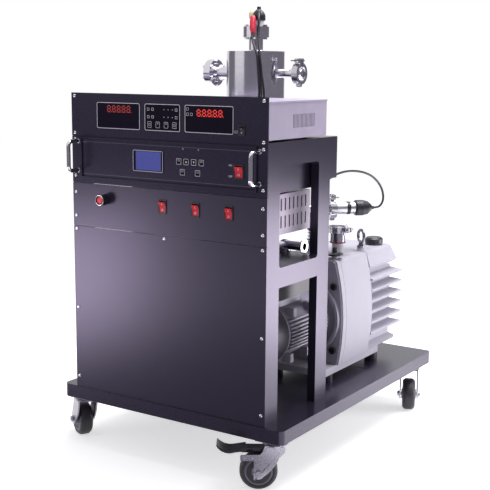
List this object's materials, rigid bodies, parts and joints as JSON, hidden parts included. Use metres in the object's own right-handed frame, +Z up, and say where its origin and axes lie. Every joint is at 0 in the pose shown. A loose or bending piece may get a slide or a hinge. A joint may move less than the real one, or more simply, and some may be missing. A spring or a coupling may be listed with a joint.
{
  "type": "turbo pumping station",
  "caption": "Wheeled vacuum pumping station: dark instrument cabinet with turbo pump, polished chamber and gauges behind, white rotary vane pump on a caster tray.",
  "frame": {"origin": "centre of the footprint, on the floor under the casters", "axes": "+X to the operator's right along the front panels, +Y towards the rear, +Z up"},
  "size_m": [0.5968, 0.7514, 0.945],
  "materials": {
    "deck_paint": "satin",
    "cabinet_paint": "satin",
    "panel_paint": "satin",
    "zinc_steel": "satin",
    "caster_steel": "satin",
    "tyre_black": "matte",
    "black_plastic": "matte",
    "black_rubber": "matte",
    "window_tint": "gloss",
    "polished_metal": "polished",
    "case_grey": "satin",
    "supply_grey": "satin",
    "polished_steel": "polished",
    "clamp_alloy": "satin",
    "red_rocker": "gloss",
    "red_lens": "gloss",
    "turbo_alloy": "satin",
    "rotor_alloy": "satin",
    "pump_white": "satin",
    "pump_grey": "satin",
    "motor_grey": "satin",
    "cowl_grey": "satin",
    "shaft_steel": "satin",
    "cable_black": "matte"
  },
  "bodies": {
    "station": {"base_tray": "deck_paint", "cross_channels": "deck_paint", "caster_plates": "zinc_steel", "side_frame_left": "cabinet_paint", "side_frame_right": "cabinet_paint", "top_plate": "cabinet_paint", "pump_bracket": "cabinet_paint", "instrument_shelf": "cabinet_paint", "lower_front_panel": "cabinet_paint", "control_panel": "cabinet_paint", "controller_front_panel": "panel_paint", "gauge_front_panel": "panel_paint", "display_windows": "window_tint", "controller_handles": "polished_metal", "controller_case": "cabinet_paint", "gauge_case": "case_grey", "power_supply_box": "supply_grey", "vent_valve": "polished_steel", "switch_bezels": "black_plastic", "screws_and_bolts": "zinc_steel", "chamber_body": "polished_steel", "port_blanks": "polished_steel", "kf_clamps": "clamp_alloy", "ion_gauge_head": "polished_steel", "ion_gauge_connector": "black_plastic", "turbo_housing": "turbo_alloy", "foreline_tee": "polished_steel", "foreline_bellows": "polished_steel", "pirani_gauge": "polished_steel", "pirani_plug": "black_plastic", "rv_pump_body": "pump_white", "rv_motor_bracket": "pump_grey", "rv_feet": "black_rubber", "rv_lifting_eye": "zinc_steel", "rv_exhaust_port": "polished_steel", "motor_frame": "motor_grey", "motor_fan_cowl": "cowl_grey", "motor_terminal_box": "black_plastic", "ion_gauge_cables": "cable_black", "pirani_cable": "cable_black", "cable_plugs": "black_plastic"},
    "swivel_front_left": {"caster_fork_front_left": "caster_steel"},
    "wheel_front_left": {"caster_wheel_front_left": "tyre_black"},
    "swivel_front_right": {"caster_fork_front_right": "caster_steel"},
    "wheel_front_right": {"caster_wheel_front_right": "tyre_black"},
    "swivel_rear_right": {"caster_fork_rear_right": "caster_steel"},
    "wheel_rear_right": {"caster_wheel_rear_right": "tyre_black"},
    "swivel_rear_left": {"caster_fork_rear_left": "caster_steel"},
    "wheel_rear_left": {"caster_wheel_rear_left": "tyre_black"},
    "brake": {"brake_pedal": "black_plastic"},
    "rocker_fore_pump": {"rocker_fore_pump": "red_rocker"},
    "rocker_baking": {"rocker_baking": "red_rocker"},
    "rocker_vent": {"rocker_vent": "red_rocker"},
    "rocker_controller_power": {"rocker_controller_power": "red_rocker"},
    "rocker_gauge_power": {"rocker_gauge_power": "black_plastic"},
    "button": {"power_button": "red_lens"},
    "turbo_rotor": {"turbo_rotor": "rotor_alloy"},
    "drive_rotor": {"drive_rotor": "shaft_steel"},
    "ballast_knob": {"gas_ballast_knob": "black_plastic"},
    "oil_cap": {"oil_filler_cap": "black_plastic"}
  },
  "joints": [
    {"name": "swivel_front_left", "type": "hinge", "parent": "station", "child": "swivel_front_left", "pos_m": [-0.23406, -0.2963, 0.0905], "axis": [0, 0, 1], "continuous": true},
    {"name": "roll_front_left", "type": "hinge", "parent": "swivel_front_left", "child": "wheel_front_left", "pos_m": [-0.26192, -0.27956, 0.0375], "axis": [-0.515, -0.8572, 0], "continuous": true},
    {"name": "swivel_front_right", "type": "hinge", "parent": "station", "child": "swivel_front_right", "pos_m": [0.25594, -0.2963, 0.0905], "axis": [0, 0, 1], "continuous": true},
    {"name": "roll_front_right", "type": "hinge", "parent": "swivel_front_right", "child": "wheel_front_right", "pos_m": [0.22868, -0.314, 0.0375], "axis": [0.5446, -0.8387, 0], "continuous": true},
    {"name": "swivel_rear_right", "type": "hinge", "parent": "station", "child": "swivel_rear_right", "pos_m": [0.25594, 0.3257, 0.0905], "axis": [0, 0, 1], "continuous": true},
    {"name": "roll_rear_right", "type": "hinge", "parent": "swivel_rear_right", "child": "wheel_rear_right", "pos_m": [0.27019, 0.29649, 0.0375], "axis": [0.8988, 0.4384, 0], "continuous": true},
    {"name": "swivel_rear_left", "type": "hinge", "parent": "station", "child": "swivel_rear_left", "pos_m": [-0.23406, 0.3257, 0.0905], "axis": [0, 0, 1], "continuous": true},
    {"name": "roll_rear_left", "type": "hinge", "parent": "swivel_rear_left", "child": "wheel_rear_left", "pos_m": [-0.24517, 0.29516, 0.0375], "axis": [0.9397, -0.342, 0], "continuous": true},
    {"name": "brake_press", "type": "hinge", "parent": "swivel_front_right", "child": "brake", "pos_m": [0.24336, -0.30447, 0.08425], "axis": [0.5446, -0.8387, 0], "range_deg": [0, 11]},
    {"name": "rock_fore_pump", "type": "hinge", "parent": "station", "child": "rocker_fore_pump", "pos_m": [0.00404, -0.3233, 0.54], "axis": [-1, 0, 0], "range_deg": [0, 20]},
    {"name": "rock_baking", "type": "hinge", "parent": "station", "child": "rocker_baking", "pos_m": [0.08524, -0.3233, 0.54], "axis": [-1, 0, 0], "range_deg": [0, 20]},
    {"name": "rock_vent", "type": "hinge", "parent": "station", "child": "rocker_vent", "pos_m": [0.16334, -0.3233, 0.54], "axis": [-1, 0, 0], "range_deg": [0, 20]},
    {"name": "rock_controller_power", "type": "hinge", "parent": "station", "child": "rocker_controller_power", "pos_m": [0.18594, -0.3233, 0.6208], "axis": [-1, 0, 0], "range_deg": [0, 20]},
    {"name": "rock_gauge_power", "type": "hinge", "parent": "station", "child": "rocker_gauge_power", "pos_m": [0.19184, -0.3233, 0.6981], "axis": [-1, 0, 0], "range_deg": [0, 20]},
    {"name": "button_press", "type": "slide", "parent": "station", "child": "button", "axis": [0, 1, 0], "range_m": [0, 0.003], "stiffness_N_per_m": 200},
    {"name": "turbo_spin", "type": "hinge", "parent": "station", "child": "turbo_rotor", "pos_m": [0.00894, 0.0037, 0.58], "axis": [0, 0, 1], "continuous": true},
    {"name": "drive_spin", "type": "hinge", "parent": "station", "child": "drive_rotor", "pos_m": [0.13694, 0.0037, 0.268], "axis": [0, 1, 0], "continuous": true},
    {"name": "ballast_turn", "type": "hinge", "parent": "station", "child": "ballast_knob", "pos_m": [0.19394, 0.0467, 0.42], "axis": [0, 0, 1], "range_deg": [0, 180]},
    {"name": "oil_cap_turn", "type": "hinge", "parent": "station", "child": "oil_cap", "pos_m": [0.17994, 0.2667, 0.42], "axis": [0, 0, 1], "range_deg": [0, 350]}
  ]
}
